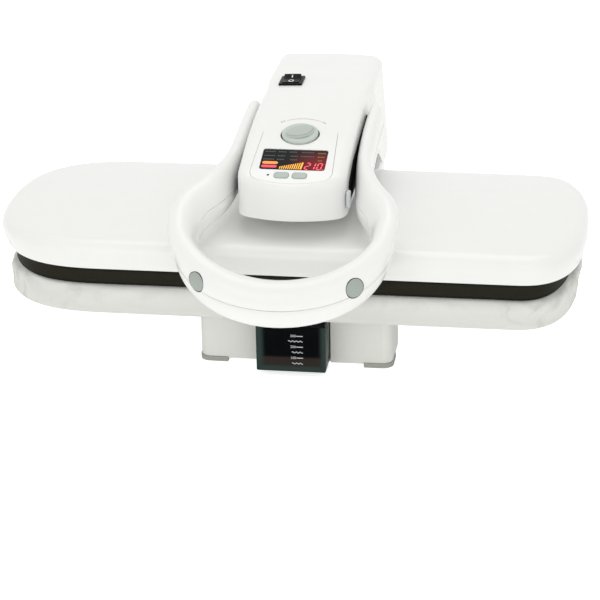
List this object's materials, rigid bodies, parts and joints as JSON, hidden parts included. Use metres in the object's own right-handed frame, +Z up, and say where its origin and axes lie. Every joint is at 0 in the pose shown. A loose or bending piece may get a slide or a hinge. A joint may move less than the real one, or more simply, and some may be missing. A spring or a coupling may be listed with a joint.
{
  "type": "steam ironing press",
  "caption": "Tabletop steam ironing press: a padded board on a base, a heated plate under a swing-up arm with a ring handle, display panel and a pull-out water tank.",
  "frame": {"origin": "centre of the bounding box of the closed press, at the table under the feet", "axes": "+X to the right along the plate, +Y to the back towards the hinge, +Z up; the user stands at -Y"},
  "size_m": [0.6908, 0.5052, 0.2802],
  "materials": {
    "aluminium": "cast and pressed aluminium",
    "base_white": "off-white moulded ABS, slightly matt",
    "black_gloss": "glossy black plastic",
    "board_cloth": "white padded cotton cover",
    "brass": "turned sintered bronze",
    "circuit_green": "circuit board laminate with parts",
    "foam": "open-cell foam pad",
    "grey_rubber": "grey rubber",
    "heat_dark": "dark olive heat-resistant plastic",
    "natural_plastic": "uncoloured moulded plastic",
    "silicone": "silicone rubber",
    "silver_grey": "silver grey moulded plastic",
    "smoked_clear": "smoked transparent plastic",
    "steel": "plated sheet and bar steel",
    "white_gloss": "glossy white moulded ABS"
  },
  "bodies": {
    "base": {"base_housing": "base_white", "base_floor": "base_white", "foot_front_left": "grey_rubber", "foot_rear_left": "grey_rubber", "foot_front_right": "grey_rubber", "foot_rear_right": "grey_rubber", "cord_inlet": "black_gloss", "rear_column": "white_gloss", "hinge_bracket": "steel", "hinge_bush_left": "brass", "hinge_bush_right": "brass", "balance_spring_left": "steel", "balance_spring_right": "steel", "board_cover": "board_cloth", "board_pan": "steel", "board_foam": "foam", "tank_bay": "base_white", "tank_dock": "natural_plastic", "dock_seal": "silicone", "water_pump": "natural_plastic", "suction_hose": "silicone", "power_board": "circuit_green"},
    "arm": {"hinge_shaft": "steel", "arm_top_cover": "white_gloss", "arm_bottom_cover": "white_gloss", "arm_frame": "steel", "lift_spring_left": "steel", "lift_spring_right": "steel", "guide_posts": "steel", "control_fascia": "white_gloss", "display_window": "black_gloss", "display_board": "circuit_green", "ready_lamp": "silver_grey", "knob_control": "black_gloss", "switch_housing": "black_gloss"},
    "tank": {"water_tank": "smoked_clear", "tank_lid": "smoked_clear", "filler_plug": "grey_rubber"},
    "panel_key_left": {"panel_key_left": "silver_grey"},
    "panel_key_right": {"panel_key_right": "silver_grey"},
    "knob": {"selector_knob": "silver_grey"},
    "rocker": {"power_rocker": "black_gloss"},
    "handle": {"handle_upper_shell": "white_gloss", "handle_lower_shell": "white_gloss", "handle_core": "aluminium", "handle_shaft": "steel", "pressure_cam_left": "steel", "pressure_cam_right": "steel"},
    "steam_button_left": {"steam_button_left": "silver_grey"},
    "steam_button_right": {"steam_button_right": "silver_grey"},
    "plate": {"plate_cover": "white_gloss", "heat_skirt": "heat_dark", "sole_plate": "aluminium", "heat_shield": "steel", "heating_element": "steel", "steam_chamber_lid": "aluminium", "thermostat": "black_gloss", "pressure_bridge": "steel", "steam_hose": "silicone"},
    "lock": {"carry_lock": "white_gloss"}
  },
  "joints": [
    {"name": "arm_hinge", "type": "hinge", "parent": "base", "child": "arm", "pos_m": [0.0135, 0.21025, 0.1895], "axis": [-1, 0, 0], "range_deg": [0, 50], "stiffness_Nm_per_rad": 2.6, "springref_deg": 180},
    {"name": "handle_hinge", "type": "hinge", "parent": "arm", "child": "handle", "pos_m": [0.0135, 0.04325, 0.2325], "axis": [-1, 0, 0], "range_deg": [0, 22]},
    {"name": "plate_slide", "type": "slide", "parent": "arm", "child": "plate", "axis": [0, 0, 1], "range_m": [0, 0.0056]},
    {"name": "steam_button_left", "type": "slide", "parent": "handle", "child": "steam_button_left", "axis": [0.5068, 0.8621, 0], "range_m": [0, 0.0025], "stiffness_N_per_m": 600, "springref_m": -0.001},
    {"name": "steam_button_right", "type": "slide", "parent": "handle", "child": "steam_button_right", "axis": [-0.5068, 0.8621, 0], "range_m": [0, 0.0025], "stiffness_N_per_m": 600, "springref_m": -0.001},
    {"name": "knob_turn", "type": "hinge", "parent": "arm", "child": "knob", "pos_m": [0.0135, -0.02925, 0.25993], "axis": [0, -0.2151, 0.9766], "range_deg": [-60, 60]},
    {"name": "panel_key_left", "type": "slide", "parent": "arm", "child": "panel_key_left", "axis": [0, 0.4137, -0.9104], "range_m": [0, 0.0008], "stiffness_N_per_m": 1200, "springref_m": -0.0004},
    {"name": "panel_key_right", "type": "slide", "parent": "arm", "child": "panel_key_right", "axis": [0, 0.4137, -0.9104], "range_m": [0, 0.0008], "stiffness_N_per_m": 1200, "springref_m": -0.0004},
    {"name": "rocker_tilt", "type": "hinge", "parent": "arm", "child": "rocker", "pos_m": [-0.01895, 0.12426, 0.27217], "axis": [-0.9994, 0.0002, -0.0351], "range_deg": [0, 16]},
    {"name": "lock_slide", "type": "slide", "parent": "arm", "child": "lock", "axis": [0, 1, 0], "range_m": [0, 0.006]},
    {"name": "tank_slide", "type": "slide", "parent": "base", "child": "tank", "axis": [0, -1, 0], "range_m": [0, 0.12]}
  ],
  "couplings": [
    {"joint": "plate_slide", "follows": "handle_hinge", "m_per_rad": 0.014324}
  ]
}
